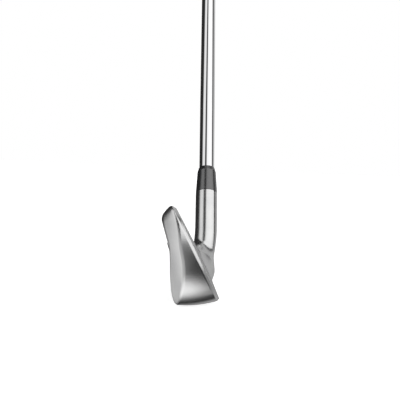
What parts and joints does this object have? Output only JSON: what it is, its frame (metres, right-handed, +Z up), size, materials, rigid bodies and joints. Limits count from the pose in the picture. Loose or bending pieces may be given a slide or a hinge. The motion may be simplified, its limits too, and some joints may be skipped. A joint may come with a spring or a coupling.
{
  "type": "golf iron",
  "caption": "Right-handed mid iron: a thick-backed lofted steel head with scored face and hosel, black ferrule, stepped steel shaft and tapered rubber grip.",
  "frame": {"origin": "the point of the sole that touches the ground when the club is held at address", "axes": "+X towards the target (the way the face looks), -Y towards the toe and +Y towards the heel and the player, +Z up; the shaft leans to +Y at the lie angle of 62 degrees"},
  "size_m": [0.0402, 0.5362, 0.8465],
  "materials": {
    "satin_steel": "satin-polished nickel-plated steel",
    "blasted_steel": "fine blasted steel between milled score lines",
    "plated_steel": "mirror-bright plated steel",
    "tungsten": "sintered, dull",
    "core_polymer": "light foamed polymer",
    "adhesive": "thin translucent tape",
    "elastomer": "soft, matt",
    "badge_trim": "dark anodised, brushed",
    "epoxy": "cured epoxy",
    "ferrule_black": "polished black",
    "brass_pin": "turned",
    "cork": "cork",
    "foil_band": "plain printed foil",
    "grip_rubber": "moulded, matt, textured",
    "cap_rubber": "harder moulded rubber, semi-matt"
  },
  "bodies": {
    "root": {"head_body": "satin_steel", "face_plate": "blasted_steel", "toe_weight": "tungsten", "heel_weight": "tungsten", "core_filler": "core_polymer", "badge_tape": "adhesive", "badge_damper": "elastomer", "badge_plate": "badge_trim", "hosel_epoxy": "epoxy", "ferrule": "ferrule_black", "shaft": "plated_steel", "tip_weight": "brass_pin", "tip_cork": "cork", "shaft_label": "foil_band", "grip_tape": "adhesive", "grip_sleeve": "grip_rubber", "grip_cap": "cap_rubber"}
  },
  "joints": []
}
